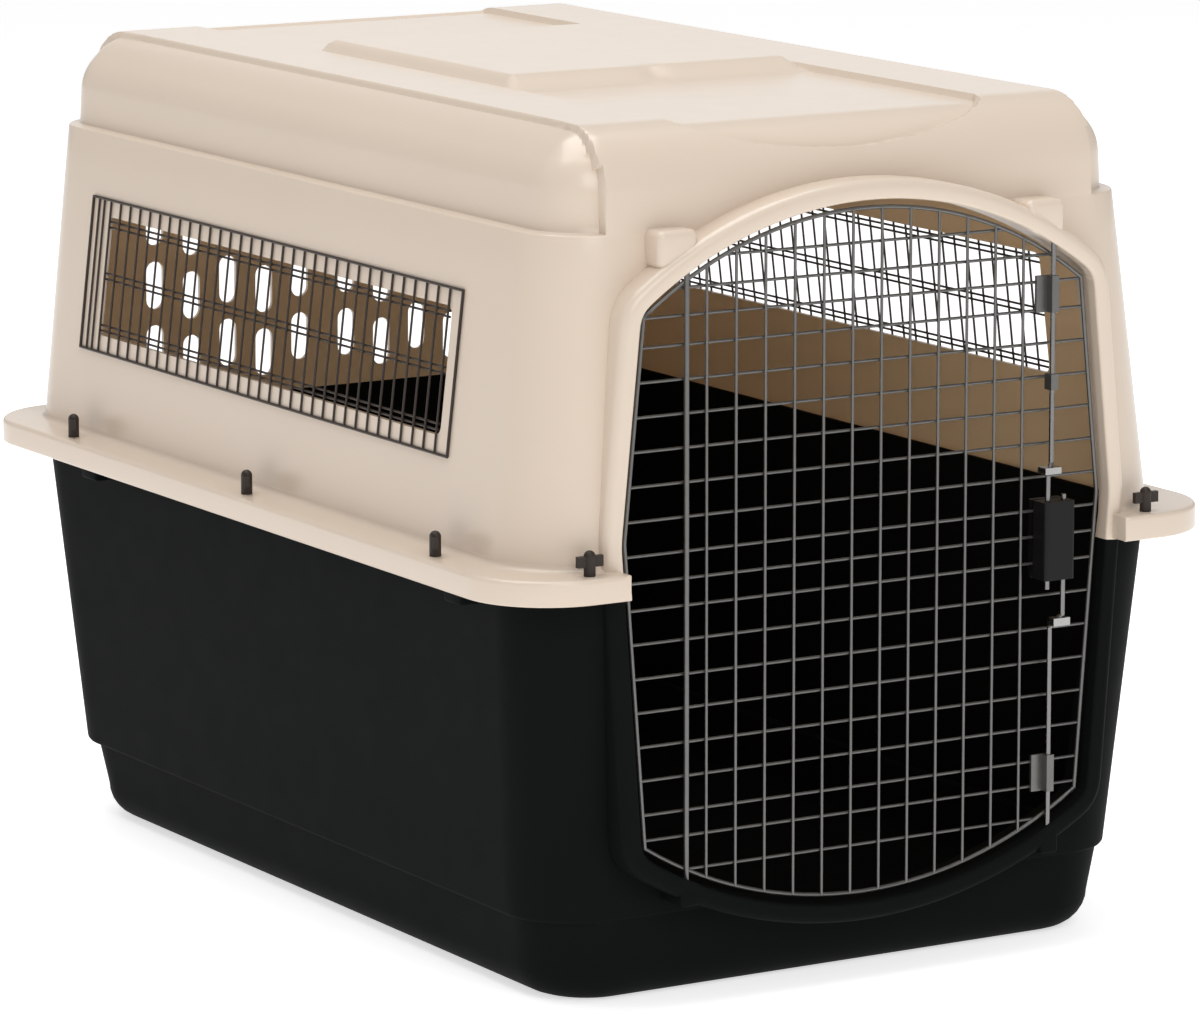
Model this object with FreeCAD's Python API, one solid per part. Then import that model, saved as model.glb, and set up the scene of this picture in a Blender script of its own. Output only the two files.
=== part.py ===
"""Two-piece plastic pet carrier with a wire door, wire side windows and a squeeze latch.

Frame: millimetres, +Z up, origin on the floor at the middle of the outline, door on the -Y side.
"""
import FreeCAD
import Part
import math
import os

V = FreeCAD.Vector
UP = V(0, 0, 1)
ALONG_X = V(1, 0, 0)
ALONG_Y = V(0, 1, 0)

# ---- driving dimensions -------------------------------------------------------------------
pitch = 25.4                    # spacing of the door's welded mesh
wall = 3.5                      # moulded wall thickness
door_y = -421.0                 # plane of the closed door

# Outlines are rounded rectangles: height, half width, front y, rear y, corner radius.
flange_bottom_z = 316.0
flange_top_z = 335.0
parting_z = flange_top_z - wall
flange_outline = (317.5, -447.5, 447.5, 68.0)
foot_outline = (286.0, -422.5, 429.0, 64.0)
ledge_z = 577.5
ledge_outline = (257.0, -405.0, 425.0, 58.0)
ledge_width = 9.0
shoulder_z = 607.0
shoulder_outline = (244.5, -395.0, 414.0, 52.0)
shoulder_radius = 46.0
shoulder_steps = 9

lower_top_outline = (282.5, -423.5, 428.0, 64.0)
stack_step_z = 65.0
lower_step_outline = (264.0, -399.5, 400.0, 59.0)
lower_neck_outline = (257.0, -398.0, 391.5, 56.0)
lower_base_outline = (252.0, -396.0, 386.0, 60.0)
base_edge_radius = 28.0
base_edge_steps = 5
ledge_slope = 0.6               # rise across a level ledge, so that its faces stay apart

pad_height = 7.0
pad_front_y = -110.0
pad_rear_y = 170.0
pad_half_width = 117.0
pad_slope_run = (14.0, 12.0)     # how far the pad spreads at its foot: sides, ends
pad_corner = (14.0, 8.0)         # corner radius at its foot and at its top

door_widest = (8.25 * pitch, 353.0)         # half width and height of the outline's side bend
door_top_corner = (7.6 * pitch, 518.0)
door_top_z = 584.5
door_bottom_corner = (7.57 * pitch, 123.0)
door_bottom_z = 66.5
door_gap = 6.5                  # frame wire's centre line to the edge of the opening
rim_width = 10.5
rim_front_y = door_y - 9.0
rim_rear_y = door_y + 32.0
rim_cut_back = 12.0             # how far behind the wall's cut the collar still reaches
rim_collar_z = (20.0, 620.0)
clear_front_y = -460.0          # in front of everything
clear_side_x = 330.0            # outside everything
door_cut_rear_y = -360.0        # how far back the door opening is cut

mesh_wire = 2.3
frame_wire = 3.2
weld = 0.2                      # depth that crossing wires are welded into each other
upright_count = 12
cross_wire_z = [(z + 9.3) * pitch for z in (
    -5.25, -4.24, -3.48, -2.46, -1.46, -0.44, 0.56, 1.58, 2.58, 3.38, 4.17, 5.18,
    6.19, 7.2, 8.2, 9.2, 10.2, 11.05, 11.85, 12.7)]

rod_radius = 2.0
running_gap = 0.08
hinge_x = -6.2 * pitch
hinge_y = door_y - 1.9
hinge_top_z = 569.0
hinge_bottom_z = 84.0
latch_x = 164.0
latch_y = door_y - 5.4
latch_top_z = 557.0
latch_bottom_z = 88.0

housing_x = (151.5, 179.0)
housing_z = (290.5, 350.5)
housing_front_y = door_y - 17.0
housing_back_y = door_y + 7.0
housing_split_y = door_y - 0.1
housing_wall = 2.5
screw_z = (312.0, 332.0)        # between the cross wires
screw_head = (3.2, 1.6)         # radius, height
screw_radius = 1.5
boss_x = (-25.0, 9.0)            # square boss on the arch, either side of its rod
boss_z = (552.0, 584.0)
boss_rear_y = rim_rear_y - 6.0
socket_half = 8.0               # block in the sill round each rod's lower end
socket_z = (76.0, 100.0)
rod_end_room = 2.0              # free length past each rod's end
keeper_room = 1.0               # play round the latch rods in their notches

upper_rod_inner_x = 158.0
lower_rod_inner_x = 172.5
crank_y = latch_y - 4.5         # plane of the rods inside the housing
upper_crank_z = (379.0, 370.0, 283.0)       # start and end of the crank, end of the rod
lower_crank_z = (252.0, 262.0, 355.0)

window_y = (-268.0, 298.0)
window_z = (416.0, 512.0)
window_frame_y = (-283.0, 326.0)
window_frame_z = (402.0, 526.0)
window_bar_count = 33
window_bar_margin = 4.0         # opening's end to the first bar
window_extra_bars = (8.0, 17.0)  # bars behind the opening's rear end
rail_ends = (18.0, 30.0)        # frame's front and rear to the rails' ends
rail_edge = (3.5, 8.0)          # opening's edge to the two rails beside it
rail_middle = 2.4               # half the spacing of the middle pair
window_wire = 1.8
window_frame_wire = 2.2
grille_offset = 1.15            # wall surface to the centre line of the frame and bars

slot_width = 16.0
slot_height = 40.5
slot_first_x = 22.5
slot_pitch_x = 34.5
slot_columns = 5                # on each side of the middle
slot_pitch_z = 54.3
slot_stagger = -11.0            # every second column sits lower
slot_middle_z = 431.3
slot_cut_y = (380.0, 80.0)      # start and length of the cut through the rear wall

bolt_radius = 2.6
bolt_thread = 14.0              # bolt above the flange
bolt_head = (5.5, 4.0)          # radius, height
nut_radius = 4.4
nut_height = 14.6
wing = (10.6, 2.0, 6.8, 15.0)   # half span, half thickness, lower and upper height
side_wing_turn = 63.0           # degrees from X at which the side nuts have come to rest
bolt_hole_radius = 3.0
side_bolt_x = 304.0
side_bolt_y = (-309.0, -12.0, 290.0)
front_bolt = (246.5, -434.0)
rear_bolt = (150.0, 438.0)

lug_y = (-335.0, 262.0)         # stacking lugs under the flange
lug_outer = (296.0, 9.0, 13.0)  # x, half width, half length
lug_inner = (287.0, 8.0, 4.0)
lug_drop = 12.0

finger_tabs = {True: (153.5, 168.0, 7.0, 371.5, 376.5), False: (162.5, 177.5, 5.0, 254.0, 260.0)}
tab_front = 3.4
guide_edge = 3.2                # rod's centre line to the edge of a guide
guide_plate = 2.4               # thickness of a guide's flat plate
upper_guides = ((151.0, 494.0, 522.0), (latch_x - guide_edge, 435.0, 447.0))  # left edge, heights
lower_guide = (151.0, 125.0, 153.5)
collar = (3.6, 2.0, 1.0)        # radius, height, clearance to the housing
spring_end_gap = 0.2
spring = (3.0, 0.5, 9)          # coil radius, wire radius, turns


# ---- helpers ------------------------------------------------------------------------------
def outline_wire(outline, z):
    """Closed wire of a rounded rectangle at height z."""
    half, front, rear, radius = outline
    mid = math.sqrt(0.5) * radius
    corners = [(half - radius, rear - radius, 1, 1), (-half + radius, rear - radius, -1, 1),
               (-half + radius, front + radius, -1, -1), (half - radius, front + radius, 1, -1)]
    arcs = []
    for cx, cy, sx, sy in corners:
        along_y = V(cx + sx * radius, cy, z)
        along_x = V(cx, cy + sy * radius, z)
        start, end = (along_y, along_x) if sx * sy > 0 else (along_x, along_y)
        arcs.append(Part.Arc(start, V(cx + sx * mid, cy + sy * mid, z), end))
    edges = []
    for arc, following in zip(arcs, arcs[1:] + arcs[:1]):
        edges.append(arc.toShape())
        edges.append(Part.makeLine(arc.EndPoint, following.StartPoint))
    return Part.Wire(edges)


def stack(stations):
    """Solid through rounded rectangles given as (z, outline), joined by ruled walls."""
    wires = [outline_wire(outline, z) for z, outline in stations]
    return Part.makeLoft(wires, True, True)


def inset(outline, amount):
    """The same outline moved inward all round."""
    half, front, rear, radius = outline
    return (half - amount, front + amount, rear - amount, max(radius - amount, 2.0))


def block(x0, x1, y0, y1, z0, z1):
    return Part.makeBox(x1 - x0, y1 - y0, z1 - z0, V(x0, y0, z0))


def rod(start, end, radius):
    return Part.makeCylinder(radius, (end - start).Length, start, end - start)


def bent_rod(points, radius):
    """Round rod through the points, with a ball at every bend."""
    pieces = [rod(a, b, radius) for a, b in zip(points, points[1:])]
    pieces += [Part.makeSphere(radius, p) for p in points[1:-1]]
    return pieces[0].fuse(pieces[1:]).removeSplitter()


def door_outline(offset, y):
    """Face inside the door's outline, grown by offset, lying at y."""
    def point(x, z):
        return V(x, y, z)

    top = Part.Arc(point(door_top_corner[0], door_top_corner[1]), point(0, door_top_z),
                   point(-door_top_corner[0], door_top_corner[1])).toShape()
    bottom = Part.Arc(point(-door_bottom_corner[0], door_bottom_corner[1]), point(0, door_bottom_z),
                      point(door_bottom_corner[0], door_bottom_corner[1])).toShape()
    left = [point(-w, z) for w, z in (door_top_corner, door_widest, door_bottom_corner)]
    right = [point(w, z) for w, z in (door_bottom_corner, door_widest, door_top_corner)]
    edges = [top] + [Part.makeLine(a, b) for a, b in zip(left, left[1:])]
    edges += [bottom] + [Part.makeLine(a, b) for a, b in zip(right, right[1:])]
    wire = Part.Wire(edges)
    if offset:
        wire = wire.makeOffset2D(offset, 0, False, False, False)
    return wire


def door_prism(offset, y0, y1):
    """Prism of the door's outline, grown by offset, from y0 to y1."""
    return Part.Face(door_outline(offset, y0)).extrude(V(0, y1 - y0, 0))


def arc_height(x, corner, middle_z):
    """Height of the arc through (+-corner) and the middle point, at x."""
    half, corner_z = corner
    rise = middle_z - corner_z
    radius = (half * half + rise * rise) / (2 * abs(rise))
    drop = radius - math.sqrt(radius * radius - x * x)
    return middle_z - drop if rise > 0 else middle_z + drop


def door_top_at(x):
    return arc_height(x, door_top_corner, door_top_z)


def door_bottom_at(x):
    return arc_height(x, door_bottom_corner, door_bottom_z)


def door_half_width_at(z):
    """Half width of the door's outline at height z."""
    if z > door_top_corner[1]:
        corner, middle = door_top_corner, door_top_z
    elif z < door_bottom_corner[1]:
        corner, middle = door_bottom_corner, door_bottom_z
    else:
        near = door_top_corner if z > door_widest[1] else door_bottom_corner
        share = (z - door_widest[1]) / (near[1] - door_widest[1])
        return door_widest[0] + share * (near[0] - door_widest[0])
    rise = abs(middle - corner[1])
    radius = (corner[0] ** 2 + rise ** 2) / (2 * rise)
    depth = radius - abs(middle - z)
    return math.sqrt(radius * radius - depth * depth)


# ---- shells -------------------------------------------------------------------------------
def upper_stations(offset):
    """Profile of the upper shell's wall from the parting face to the crown."""
    rows = [(parting_z - (1 if offset else 0), inset(foot_outline, offset)),
            (flange_top_z, inset(foot_outline, offset)),
            (ledge_z - offset, inset(ledge_outline, offset)),
            (ledge_z - offset + ledge_slope, inset(ledge_outline, offset + ledge_width)),
            (shoulder_z, inset(shoulder_outline, offset))]
    radius = shoulder_radius - offset
    for step in range(1, shoulder_steps + 1):
        angle = math.radians(90) * step / shoulder_steps
        inward = offset + radius * (1 - math.cos(angle))
        rows.append((shoulder_z + radius * math.sin(angle), inset(shoulder_outline, inward)))
    return rows


def lower_stations(offset):
    """Profile of the lower shell's wall from the floor to the parting face."""
    rows = []
    radius = base_edge_radius - offset
    for step in range(base_edge_steps + 1):
        angle = math.radians(90) * step / base_edge_steps
        inward = offset + radius * (1 - math.sin(angle))
        rows.append((offset + radius * (1 - math.cos(angle)), inset(lower_base_outline, inward)))
    rows += [(stack_step_z + offset - ledge_slope, inset(lower_neck_outline, offset)),
             (stack_step_z + offset, inset(lower_step_outline, offset)),
             (parting_z + (1 if offset else 0), inset(lower_top_outline, offset))]
    return rows


def flange_ring(outline, z0, z1):
    return Part.Face(outline_wire(outline, z0)).extrude(V(0, 0, z1 - z0))


def door_rim(z0, z1):
    """Collar round the door opening, between two heights."""
    rim = door_prism(door_gap + rim_width, rim_front_y, rim_rear_y)
    return rim.common(block(-clear_side_x, clear_side_x, clear_front_y, 0, z0, z1))


def rod_boss(x):
    """Square boss on the arch that takes the upper end of a rod."""
    return block(x + boss_x[0], x + boss_x[1], rim_front_y, boss_rear_y, boss_z[0], boss_z[1])


def bolt_places():
    places = [(side * side_bolt_x, y, "side") for side in (-1, 1) for y in side_bolt_y]
    places += [(side * front_bolt[0], front_bolt[1], "front") for side in (-1, 1)]
    places += [(side * rear_bolt[0], rear_bolt[1], "rear") for side in (-1, 1)]
    return places


def bolt_holes():
    low = flange_bottom_z - lug_drop
    return [Part.makeCylinder(bolt_hole_radius, flange_top_z + 1 - low, V(x, y, low), UP)
            for x, y, _ in bolt_places()]


def hinge_socket():
    return rod(V(hinge_x, hinge_y, hinge_bottom_z - rod_end_room),
               V(hinge_x, hinge_y, hinge_top_z + rod_end_room), rod_radius + running_gap)


def latch_keeper():
    """Notch for the latch rods' ends, open to the front so that the door can swing out."""
    reach = rod_radius + keeper_room
    low = latch_bottom_z - rod_end_room
    high = latch_top_z + rod_end_room
    hole = rod(V(latch_x, latch_y, low), V(latch_x, latch_y, high), reach)
    notch = block(latch_x - reach, latch_x + reach, rim_front_y - 1, latch_y, low, high)
    return hole.fuse(notch)


def vent_slots():
    """Round-ended upright slots in the rear wall, in staggered columns."""
    cutters = []
    y, length = slot_cut_y
    radius = slot_width / 2
    reach = slot_height / 2 - radius
    for side in (-1, 1):
        for column in range(slot_columns):
            x = side * (slot_first_x + slot_pitch_x * column)
            for row in (-1, 0, 1):
                z = slot_middle_z + row * slot_pitch_z + (column % 2) * slot_stagger
                left_low, left_high = V(x - radius, y, z - reach), V(x - radius, y, z + reach)
                right_low, right_high = V(x + radius, y, z - reach), V(x + radius, y, z + reach)
                edges = [Part.makeLine(left_low, left_high),
                         Part.Arc(left_high, V(x, y, z + reach + radius), right_high).toShape(),
                         Part.makeLine(right_high, right_low),
                         Part.Arc(right_low, V(x, y, z - reach - radius), left_low).toShape()]
                cutters.append(Part.Face(Part.Wire(edges)).extrude(V(0, length, 0)))
    return cutters


def top_pad():
    """Low raised pad on the crown with sloping sides."""
    crown = shoulder_z + shoulder_radius
    sides, ends = pad_slope_run
    base = (pad_half_width + sides, pad_front_y - ends, pad_rear_y + ends, pad_corner[0])
    top = (pad_half_width, pad_front_y, pad_rear_y, pad_corner[1])
    return stack([(crown - 1, base), (crown, base), (crown + pad_height, top)])


def upper_shell():
    solid = stack(upper_stations(0)).fuse(top_pad())
    flange = flange_ring(flange_outline, flange_bottom_z, flange_top_z)
    flange = flange.cut(flange_ring(inset(flange_outline, wall), flange_bottom_z - 1, parting_z))
    solid = solid.fuse(flange)
    solid = solid.cut(door_prism(door_gap + rim_width, clear_front_y, rim_rear_y - rim_cut_back))
    solid = solid.fuse([door_rim(flange_bottom_z, rim_collar_z[1]), rod_boss(hinge_x), rod_boss(latch_x)])
    solid = solid.cut(stack(upper_stations(wall)))
    solid = solid.fuse(door_rim(flange_bottom_z, rim_collar_z[1]))
    cutters = [door_prism(door_gap, clear_front_y, door_cut_rear_y), hinge_socket(), latch_keeper(),
               block(-clear_side_x, clear_side_x, window_y[0], window_y[1], window_z[0], window_z[1])]
    solid = solid.cut(cutters + bolt_holes() + vent_slots())
    return solid.removeSplitter()


def lower_shell():
    solid = stack(lower_stations(0))
    flange = flange_ring(inset(flange_outline, wall + 1), parting_z - wall, parting_z)
    lugs = []
    for x, half_width, half_length in (lug_outer, lug_inner):
        lugs += [block(side * x - half_width, side * x + half_width, y - half_length, y + half_length,
                       flange_bottom_z - lug_drop, parting_z - wall)
                 for side in (-1, 1) for y in lug_y]
    solid = solid.fuse([flange] + lugs)
    solid = solid.cut(door_prism(door_gap + rim_width, clear_front_y, rim_rear_y - rim_cut_back))
    sockets = [block(x - socket_half, x + socket_half, rim_front_y, boss_rear_y, socket_z[0], socket_z[1])
               for x in (hinge_x, latch_x)]
    solid = solid.fuse([door_rim(rim_collar_z[0], flange_bottom_z)] + sockets)
    solid = solid.cut(stack(lower_stations(wall)))
    solid = solid.fuse(door_rim(rim_collar_z[0], flange_bottom_z))
    cutters = [door_prism(door_gap, clear_front_y, door_cut_rear_y), hinge_socket(), latch_keeper(),
               door_prism(door_gap + rim_width, clear_front_y, rim_rear_y).common(
                   block(-clear_side_x, clear_side_x, clear_front_y, 0, flange_bottom_z, ledge_z))]
    solid = solid.cut(cutters + bolt_holes())
    return solid.removeSplitter()


# ---- fasteners ----------------------------------------------------------------------------
def bolt(x, y):
    head_radius, head_height = bolt_head
    head = Part.makeCylinder(head_radius, head_height, V(x, y, parting_z - wall - head_height), UP)
    shank = Part.makeCylinder(bolt_radius, flange_top_z + bolt_thread - parting_z + wall,
                              V(x, y, parting_z - wall), UP)
    return head.fuse(shank).removeSplitter()


def wing_nut(x, y, turn):
    """Tall hub with a domed top and two wings, turned from X by an angle in degrees."""
    span, thick, low, high = wing
    hub = Part.makeCylinder(nut_radius, nut_height, V(x, y, flange_top_z), UP)
    dome = Part.makeSphere(nut_radius, V(x, y, flange_top_z + nut_height))
    wings = block(-span, span, -thick, thick, flange_top_z + low, flange_top_z + high)
    wings.rotate(V(0, 0, 0), UP, turn)
    wings.translate(V(x, y, 0))
    nut = hub.fuse([dome, wings])
    bore = Part.makeCylinder(bolt_radius, bolt_thread, V(x, y, flange_top_z), UP)
    return nut.cut(bore).removeSplitter()


# ---- window grilles -----------------------------------------------------------------------
def on_wall(shape, side):
    """Carry a flat panel built on x = 0 to the outside of the leaning side wall."""
    rise = ledge_z - flange_top_z
    lean = math.degrees(math.atan2(foot_outline[0] - ledge_outline[0], rise))
    panel = shape.copy()
    middle_z = (window_frame_z[0] + window_frame_z[1]) / 2
    share = (middle_z - flange_top_z) / rise
    wall_x = foot_outline[0] + share * (ledge_outline[0] - foot_outline[0])
    panel.translate(V(0, 0, -middle_z))
    panel.rotate(V(0, 0, 0), ALONG_Y, -lean)
    panel.translate(V(wall_x, 0, middle_z))
    if side < 0:
        panel = panel.mirror(V(0, 0, 0), ALONG_X)
    return panel


def window_frame():
    """Rectangle of heavier wire with rounded corners, lying on the wall."""
    x = grille_offset
    y0, y1 = window_frame_y
    z0, z1 = window_frame_z
    corners = [V(x, y0, z0), V(x, y1, z0), V(x, y1, z1), V(x, y0, z1)]
    radius = window_frame_wire / 2
    pieces = [rod(a, b, radius) for a, b in zip(corners, corners[1:] + corners[:1])]
    pieces += [Part.makeSphere(radius, c) for c in corners]
    return pieces[0].fuse(pieces[1:]).removeSplitter()


def window_bars():
    """Upright wires, plus two beyond the rear end of the opening."""
    radius = window_wire / 2
    first, last = window_y[0] + window_bar_margin, window_y[1] - window_bar_margin
    step = (last - first) / (window_bar_count - 1)
    places = [first + step * k for k in range(window_bar_count)]
    places += [window_y[1] + extra for extra in window_extra_bars]
    z0, z1 = window_frame_z
    return [rod(V(grille_offset, y, z0), V(grille_offset, y, z1), radius) for y in places]


def window_rails():
    """Pairs of level wires behind the bars, inside the opening's edges."""
    radius = window_wire / 2
    x = grille_offset - window_wire + weld
    y0, y1 = window_frame_y[0] + rail_ends[0], window_frame_y[1] - rail_ends[1]
    middle = (window_z[0] + window_z[1]) / 2
    levels = [middle - rail_middle, middle + rail_middle]
    levels += [window_z[0] + edge for edge in rail_edge] + [window_z[1] - edge for edge in rail_edge]
    return [rod(V(x, y0, z), V(x, y1, z), radius) for z in levels]


# ---- door ---------------------------------------------------------------------------------
def door_frame():
    wire = door_outline(0, door_y)
    radius = frame_wire / 2
    pieces = [Part.makeSphere(radius, vertex.Point) for vertex in wire.Vertexes]
    for edge in wire.Edges:
        start = edge.valueAt(edge.FirstParameter)
        section = Part.Face(Part.Wire(Part.makeCircle(radius, start,
                                                      edge.tangentAt(edge.FirstParameter))))
        if isinstance(edge.Curve, Part.Circle):
            turn = math.degrees(edge.LastParameter - edge.FirstParameter)
            pieces.append(section.revolve(edge.Curve.Center, edge.Curve.Axis, turn))
        else:
            pieces.append(section.extrude(edge.valueAt(edge.LastParameter) - start))
    return pieces[0].fuse(pieces[1:]).removeSplitter()


def upright_wires():
    radius = mesh_wire / 2
    y = door_y - radius + weld / 2
    wires = []
    for k in range(upright_count):
        x = (k - (upright_count - 1) / 2) * pitch
        wires.append(rod(V(x, y, door_bottom_at(x)), V(x, y, door_top_at(x)), radius))
    return wires


def cross_wires():
    radius = mesh_wire / 2
    y = door_y + radius - weld / 2
    wires = []
    for z in cross_wire_z:
        half = door_half_width_at(z)
        wires.append(rod(V(-half, y, z), V(half, y, z), radius))
    return wires


def hinge_rod():
    return rod(V(hinge_x, hinge_y, hinge_bottom_z), V(hinge_x, hinge_y, hinge_top_z), rod_radius)


# ---- latch --------------------------------------------------------------------------------
def latch_rod_path(upper):
    """Bends of the upper or lower latch rod, from its free end to the housing."""
    free_z = latch_top_z if upper else latch_bottom_z
    inner_x = upper_rod_inner_x if upper else lower_rod_inner_x
    start, end, last = upper_crank_z if upper else lower_crank_z
    return [V(latch_x, latch_y, free_z), V(latch_x, latch_y, start),
            V(inner_x, crank_y, end), V(inner_x, crank_y, last)]


def latch_rod(upper):
    return bent_rod(latch_rod_path(upper), rod_radius)


def rod_passages(gap):
    """Straight passages of both rods through the housing."""
    low, high = housing_z[0] - 1, housing_z[1] + 1
    return [rod(V(x, crank_y, low), V(x, crank_y, high), rod_radius + gap)
            for x in (upper_rod_inner_x, lower_rod_inner_x)]


def latch_cover():
    """Front half of the latch housing: an open-backed box round both springs."""
    x0, x1 = housing_x
    z0, z1 = housing_z
    shell = block(x0, x1, housing_front_y, housing_split_y, z0, z1)
    upright = [edge for edge in shell.Edges
               if abs(edge.Vertexes[0].Z - edge.Vertexes[1].Z) > 10
               and edge.Vertexes[0].Y < housing_front_y + 1]
    shell = shell.makeFillet(3.0, upright)
    inside = block(x0 + housing_wall, x1 - housing_wall, housing_front_y + housing_wall,
                   housing_split_y + 1, z0 + housing_wall, z1 - housing_wall)
    return shell.cut([inside] + rod_passages(running_gap)).removeSplitter()


def latch_back_plate():
    """Rear half of the housing, clamped over the mesh from inside."""
    x0, x1 = housing_x
    z0, z1 = housing_z
    plate = block(x0, x1, door_y + mesh_wire - weld / 2, housing_back_y, z0, z1)
    upright = [edge for edge in plate.Edges
               if abs(edge.Vertexes[0].Z - edge.Vertexes[1].Z) > 10
               and edge.Vertexes[0].Y > housing_back_y - 1]
    return plate.makeFillet(2.0, upright)


def latch_screws():
    """Two screws through the mesh that draw the housing's halves together."""
    screws = []
    x = (housing_x[0] + housing_x[1]) / 2
    length = housing_back_y - housing_front_y - housing_wall
    for z in screw_z:
        head = Part.makeCylinder(screw_head[0], screw_head[1], V(x, housing_back_y, z), ALONG_Y)
        shank = Part.makeCylinder(screw_radius, length, V(x, housing_front_y + housing_wall, z), ALONG_Y)
        screws.append(head.fuse(shank).removeSplitter())
    return screws


def rod_collar(upper):
    """Push-on ring that the spring bears against."""
    x = upper_rod_inner_x if upper else lower_rod_inner_x
    radius, height, clearance = collar
    if upper:
        z = housing_z[1] - housing_wall - height - clearance
    else:
        z = housing_z[0] + housing_wall + clearance
    ring = Part.makeCylinder(radius, height, V(x, crank_y, z), UP)
    return ring.cut(Part.makeCylinder(rod_radius, height, V(x, crank_y, z), UP))


def latch_spring(upper):
    """Compression spring round the rod, between its collar and the far end of the housing."""
    x = upper_rod_inner_x if upper else lower_rod_inner_x
    z0, z1 = spring_span(upper)
    radius, wire, turns = spring
    length = z1 - z0 - 2 * (wire + spring_end_gap)
    helix = Part.makeHelix(length / turns, length, radius)
    start = helix.Edges[0].valueAt(helix.Edges[0].FirstParameter)
    tangent = helix.Edges[0].tangentAt(helix.Edges[0].FirstParameter)
    circle = Part.Wire(Part.makeCircle(wire, start, tangent))
    coil = Part.Wire(helix.Edges).makePipeShell([circle], True, True)
    coil.translate(V(x, crank_y, z0 + wire + spring_end_gap))
    return coil


def spring_span(upper):
    """Lower and upper end of the space that the spring fills."""
    if upper:
        return housing_z[0] + housing_wall, housing_z[1] - housing_wall - collar[1] - collar[2]
    return housing_z[0] + housing_wall + collar[1] + collar[2], housing_z[1] - housing_wall


def finger_tab(upper):
    """Pressed metal tab clamped on the rod's crank, for a finger to pull."""
    x0, x1, depth, z0, z1 = finger_tabs[upper]
    tab = block(x0, x1, crank_y - tab_front, crank_y + depth, z0, z1)
    return tab.cut(latch_rod(upper))


def rod_guide(left_x, z0, z1):
    """Plate welded on the cross wires, folded round the latch rod with a running hole."""
    back_y = door_y + weld / 2
    plate = block(left_x, latch_x + guide_edge, back_y - guide_plate, back_y, z0, z1)
    fold = block(latch_x - guide_edge, latch_x + guide_edge, latch_y - tab_front, back_y, z0, z1)
    hole = rod(V(latch_x, latch_y, z0), V(latch_x, latch_y, z1), rod_radius + running_gap)
    return plate.fuse(fold).cut(hole).removeSplitter()


# ---- files --------------------------------------------------------------------------------
def save(name, shapes):
    shapes = shapes if isinstance(shapes, list) else [shapes]
    shape = shapes[0] if len(shapes) == 1 else Part.makeCompound(shapes)
    if not shape.isValid():
        print("not valid:", name)
    shape.exportStep("parts/" + name + ".step")
    box = shape.BoundBox
    print(name, len(shape.Solids), [round(v, 1) for v in (
        box.XMin, box.XMax, box.YMin, box.YMax, box.ZMin, box.ZMax)])


def main():
    os.makedirs("parts", exist_ok=True)
    save("upper_shell", upper_shell())
    save("lower_shell", lower_shell())
    for place in ("side", "front", "rear"):
        spots = [(x, y) for x, y, kind in bolt_places() if kind == place]
        save(place + "_bolts", [bolt(x, y) for x, y in spots])
        turn = side_wing_turn if place == "side" else 0
        save(place + "_wing_nuts", [wing_nut(x, y, turn) for x, y in spots])
    for name, side in (("left", -1), ("right", 1)):
        save(name + "_window_frame", on_wall(window_frame(), side))
        save(name + "_window_bars", [on_wall(bar, side) for bar in window_bars()])
        save(name + "_window_rails", [on_wall(rail, side) for rail in window_rails()])
    save("door_frame_wire", door_frame())
    save("door_upright_wires", upright_wires())
    save("door_cross_wires", cross_wires())
    save("hinge_rod", hinge_rod())
    save("latch_cover", latch_cover())
    save("latch_back_plate", latch_back_plate())
    save("latch_screws", latch_screws())
    save("upper_rod_guides", [rod_guide(left_x, z0, z1) for left_x, z0, z1 in upper_guides])
    save("lower_rod_guide", rod_guide(*lower_guide))
    for name, upper in (("upper", True), ("lower", False)):
        save(name + "_latch_rod", latch_rod(upper))
        save(name + "_rod_collar", rod_collar(upper))
        save(name + "_latch_spring", latch_spring(upper))
        save(name + "_finger_tab", finger_tab(upper))


main()
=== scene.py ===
import math

import bmesh
import bpy
import numpy as np
from mathutils import Matrix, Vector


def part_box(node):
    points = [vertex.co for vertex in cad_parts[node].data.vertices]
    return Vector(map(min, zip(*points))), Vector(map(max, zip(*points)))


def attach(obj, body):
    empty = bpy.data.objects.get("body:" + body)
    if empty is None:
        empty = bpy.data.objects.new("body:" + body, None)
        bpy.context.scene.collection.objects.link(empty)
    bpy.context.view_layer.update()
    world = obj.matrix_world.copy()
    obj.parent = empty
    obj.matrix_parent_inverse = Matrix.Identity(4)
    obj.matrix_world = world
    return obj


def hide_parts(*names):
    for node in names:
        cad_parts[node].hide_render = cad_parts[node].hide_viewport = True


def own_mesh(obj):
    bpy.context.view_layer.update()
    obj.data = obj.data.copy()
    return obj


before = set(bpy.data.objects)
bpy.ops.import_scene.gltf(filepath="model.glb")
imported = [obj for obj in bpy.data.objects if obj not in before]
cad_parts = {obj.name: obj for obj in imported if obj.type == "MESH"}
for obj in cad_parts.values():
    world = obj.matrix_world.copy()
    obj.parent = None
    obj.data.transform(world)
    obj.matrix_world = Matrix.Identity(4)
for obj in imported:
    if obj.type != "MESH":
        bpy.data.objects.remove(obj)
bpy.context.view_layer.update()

# ---- Camera -----------------------------------------------------------------------------------
# A long lens a few metres away, a little above the roof, looking at the door's side of the left
# front corner, so that upright edges stay almost parallel.
camera_data = bpy.data.cameras.new("camera")
camera_data.lens = 190.24
camera_data.sensor_width = 36.0
camera = bpy.data.objects.new("camera", camera_data)
bpy.context.scene.collection.objects.link(camera)
camera.matrix_world = (Matrix.Translation((-2.5486, -4.2980, 1.2200))
                       @ Matrix.Rotation(math.radians(-30.882), 4, "Z")
                       @ Matrix.Rotation(math.radians(90 - 10.507), 4, "X")
                       @ Matrix.Rotation(math.radians(-0.096), 4, "Z"))
bpy.context.scene.camera = camera

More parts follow.
